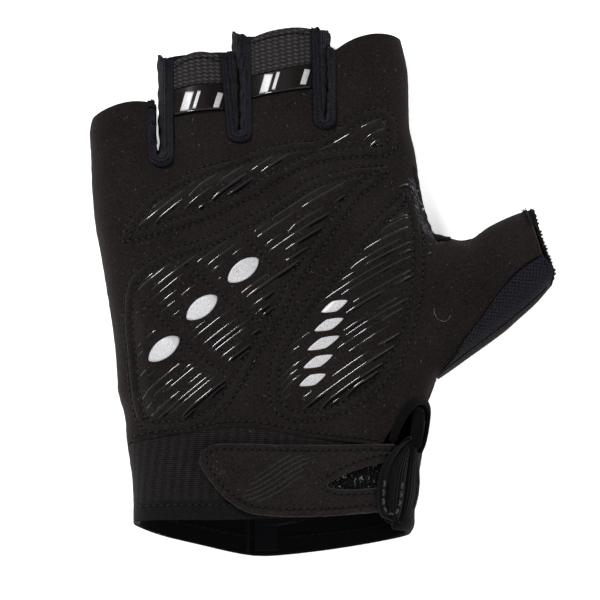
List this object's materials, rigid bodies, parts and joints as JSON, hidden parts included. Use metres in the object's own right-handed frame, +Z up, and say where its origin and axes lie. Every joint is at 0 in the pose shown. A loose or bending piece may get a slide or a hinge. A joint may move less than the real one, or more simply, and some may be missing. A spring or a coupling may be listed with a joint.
{
  "type": "cycling glove",
  "caption": "Fingerless right-hand cycling glove lying palm up, with padded suede palm, stretch back, finger gussets and a wrist strap.",
  "frame": {"origin": "centre of the bounding box in plan, on the surface that the glove lies on", "axes": "+Z up, out of the palm side; +Y from the wrist towards the fingertips; +X towards the thumb"},
  "size_m": [0.1439, 0.1627, 0.0301],
  "materials": {
    "suede": "matt synthetic suede",
    "padding": "matt synthetic suede over gel padding",
    "stretch": "stretch jersey",
    "gusset": "navy stretch fabric",
    "mesh": "ribbed grey mesh",
    "grip_print": "glossy silicone",
    "thumb_mesh": "perforated navy mesh",
    "knit": "ribbed elastic knit",
    "binding": "folded edge binding",
    "loops": "fuzzy loop tape",
    "strap": "matt synthetic suede strap",
    "tape": "woven tape"
  },
  "bodies": {
    "root": {"palm_panel": "suede", "back_panel": "stretch", "gel_pad_upper": "padding", "gel_pad_outer": "padding", "gel_pad_thumb": "padding", "ring_grip_band": "grip_print", "ring_mesh_panel": "mesh", "middle_grip_band": "grip_print", "middle_mesh_panel": "mesh", "gusset_little_ring": "gusset", "gusset_ring_middle": "gusset", "gusset_middle_index": "gusset", "thumb_mesh_panel": "thumb_mesh", "thumb_back_panel": "stretch", "cuff_knit": "knit", "cuff_hem_palm": "binding", "cuff_back": "stretch", "cuff_hem_back": "binding", "slit_binding": "binding", "closure_flap": "knit", "loop_patch": "loops", "closure_strap": "strap", "inner_tape": "tape"}
  },
  "joints": []
}
